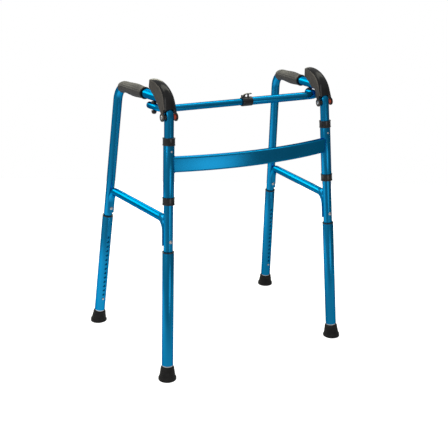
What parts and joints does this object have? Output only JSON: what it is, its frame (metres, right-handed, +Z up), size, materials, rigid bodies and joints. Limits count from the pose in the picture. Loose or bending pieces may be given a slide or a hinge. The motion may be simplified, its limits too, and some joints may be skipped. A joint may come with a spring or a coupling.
{
  "type": "folding walking frame",
  "caption": "Folding walking frame with hand grips, palm paddles, a bowed crossbar, a telescoping upper bar and height-adjustable legs with rubber tips.",
  "frame": {"origin": "on the floor, midway between the four feet", "axes": "+Z up, +X to the right of the front view, -Y to the front where the crossbars face, +Y to the rear where the user stands"},
  "size_m": [0.679, 0.4856, 0.8095],
  "materials": {
    "blue_tube": "blue anodised, satin",
    "black_plastic": "satin moulded",
    "foot_rubber": "matte",
    "grip_vinyl": "matte, fine ribs",
    "paddle_plastic": "satin moulded",
    "orange_plastic": "satin",
    "bright_steel": "bright zinc"
  },
  "bodies": {
    "front_frame": {"lower_crossbar": "blue_tube", "hinge_sleeve_left": "blue_tube", "hinge_sleeve_right": "blue_tube", "sleeve_rivet_left": "bright_steel", "sleeve_rivet_right": "bright_steel"},
    "side_left": {"side_tube_left": "blue_tube", "hand_grip_left": "grip_vinyl", "side_brace_left": "blue_tube", "brace_rivet_front_left": "bright_steel", "brace_rivet_rear_left": "bright_steel", "collar_upper_left": "black_plastic", "collar_lower_left": "black_plastic", "paddle_pin_left": "bright_steel", "pivot_bush_outer_left": "black_plastic", "pivot_bush_inner_left": "orange_plastic"},
    "bar_left": {"upper_bar_left": "blue_tube", "pivot_pin_left": "black_plastic", "pivot_spacer_left": "black_plastic"},
    "paddle_left": {"palm_paddle_left": "paddle_plastic"},
    "extension_front_left": {"leg_extension_front_left": "blue_tube", "extension_bush_front_left": "black_plastic", "foot_ferrule_front_left": "bright_steel", "foot_tip_front_left": "foot_rubber"},
    "button_front_left": {"spring_button_front_left": "bright_steel"},
    "extension_rear_left": {"leg_extension_rear_left": "blue_tube", "extension_bush_rear_left": "black_plastic", "foot_ferrule_rear_left": "bright_steel", "foot_tip_rear_left": "foot_rubber"},
    "button_rear_left": {"spring_button_rear_left": "bright_steel"},
    "side_right": {"side_tube_right": "blue_tube", "hand_grip_right": "grip_vinyl", "side_brace_right": "blue_tube", "brace_rivet_front_right": "bright_steel", "brace_rivet_rear_right": "bright_steel", "collar_upper_right": "black_plastic", "collar_lower_right": "black_plastic", "paddle_pin_right": "bright_steel", "pivot_bush_outer_right": "orange_plastic", "pivot_bush_inner_right": "black_plastic"},
    "bar_right": {"upper_bar_right": "blue_tube", "pivot_pin_right": "black_plastic", "pivot_spacer_right": "black_plastic", "bar_collar": "black_plastic", "lever_pin": "bright_steel"},
    "paddle_right": {"palm_paddle_right": "paddle_plastic"},
    "extension_front_right": {"leg_extension_front_right": "blue_tube", "extension_bush_front_right": "black_plastic", "foot_ferrule_front_right": "bright_steel", "foot_tip_front_right": "foot_rubber"},
    "button_front_right": {"spring_button_front_right": "bright_steel"},
    "extension_rear_right": {"leg_extension_rear_right": "blue_tube", "extension_bush_rear_right": "black_plastic", "foot_ferrule_rear_right": "bright_steel", "foot_tip_rear_right": "foot_rubber"},
    "button_rear_right": {"spring_button_rear_right": "bright_steel"},
    "lever": {"lock_lever": "black_plastic"}
  },
  "joints": [
    {"name": "fold_left", "type": "hinge", "parent": "front_frame", "child": "side_left", "pos_m": [-0.25145, -0.17372, 0.599], "axis": [-0.0508, -0.0732, -0.996], "range_deg": [0, 37]},
    {"name": "fold_right", "type": "hinge", "parent": "front_frame", "child": "side_right", "pos_m": [0.25145, -0.17372, 0.599], "axis": [-0.0508, 0.0732, 0.996], "range_deg": [0, 37]},
    {"name": "bar_turn_left", "type": "hinge", "parent": "side_left", "child": "bar_left", "pos_m": [-0.25025, -0.0856, 0.7367], "axis": [-0.0508, -0.0732, -0.996], "range_deg": [-37, 0]},
    {"name": "bar_turn_right", "type": "hinge", "parent": "side_right", "child": "bar_right", "pos_m": [0.25025, -0.0856, 0.7367], "axis": [-0.0508, 0.0732, 0.996], "range_deg": [-37, 0]},
    {"name": "lever_lift", "type": "hinge", "parent": "bar_right", "child": "lever", "pos_m": [-0.0025, -0.1276, 0.7509], "axis": [0, -1, 0], "range_deg": [0, 16], "stiffness_Nm_per_rad": 0.02, "springref_deg": -17.19},
    {"name": "paddle_press_left", "type": "hinge", "parent": "side_left", "child": "paddle_left", "pos_m": [-0.24515, -0.16465, 0.7225], "axis": [-0.9956, -0.0743, 0.0562], "range_deg": [0, 9], "stiffness_Nm_per_rad": 0.6, "springref_deg": -8.59},
    {"name": "paddle_press_right", "type": "hinge", "parent": "side_right", "child": "paddle_right", "pos_m": [0.24515, -0.16465, 0.7225], "axis": [-0.9956, 0.0743, -0.0562], "range_deg": [0, 9], "stiffness_Nm_per_rad": 0.6, "springref_deg": -8.59},
    {"name": "leg_slide_front_left", "type": "slide", "parent": "side_left", "child": "extension_front_left", "axis": [-0.0508, -0.0732, -0.996], "range_m": [0, 0.18253]},
    {"name": "button_press_front_left", "type": "slide", "parent": "side_left", "child": "button_front_left", "axis": [0.0781, -0.9945, 0.0691], "range_m": [0, 0.0046], "stiffness_N_per_m": 400, "springref_m": -0.002},
    {"name": "leg_slide_front_right", "type": "slide", "parent": "side_right", "child": "extension_front_right", "axis": [0.0508, -0.0732, -0.996], "range_m": [0, 0.18253]},
    {"name": "button_press_front_right", "type": "slide", "parent": "side_right", "child": "button_front_right", "axis": [-0.0781, -0.9945, 0.0691], "range_m": [0, 0.0046], "stiffness_N_per_m": 400, "springref_m": -0.002},
    {"name": "leg_slide_rear_left", "type": "slide", "parent": "side_left", "child": "extension_rear_left", "axis": [-0.0656, 0.1306, -0.9893], "range_m": [0, 0.18377]},
    {"name": "button_press_rear_left", "type": "slide", "parent": "side_left", "child": "button_rear_left", "axis": [-0.0662, 0.9886, 0.1349], "range_m": [0, 0.0046], "stiffness_N_per_m": 400, "springref_m": -0.002},
    {"name": "leg_slide_rear_right", "type": "slide", "parent": "side_right", "child": "extension_rear_right", "axis": [0.0656, 0.1306, -0.9893], "range_m": [0, 0.18377]},
    {"name": "button_press_rear_right", "type": "slide", "parent": "side_right", "child": "button_rear_right", "axis": [0.0662, 0.9886, 0.1349], "range_m": [0, 0.0046], "stiffness_N_per_m": 400, "springref_m": -0.002}
  ],
  "couplings": [
    {"joint": "fold_right", "follows": "fold_left", "ratio": 1},
    {"joint": "bar_turn_left", "follows": "fold_left", "ratio": -1},
    {"joint": "bar_turn_right", "follows": "fold_left", "ratio": -1}
  ]
}
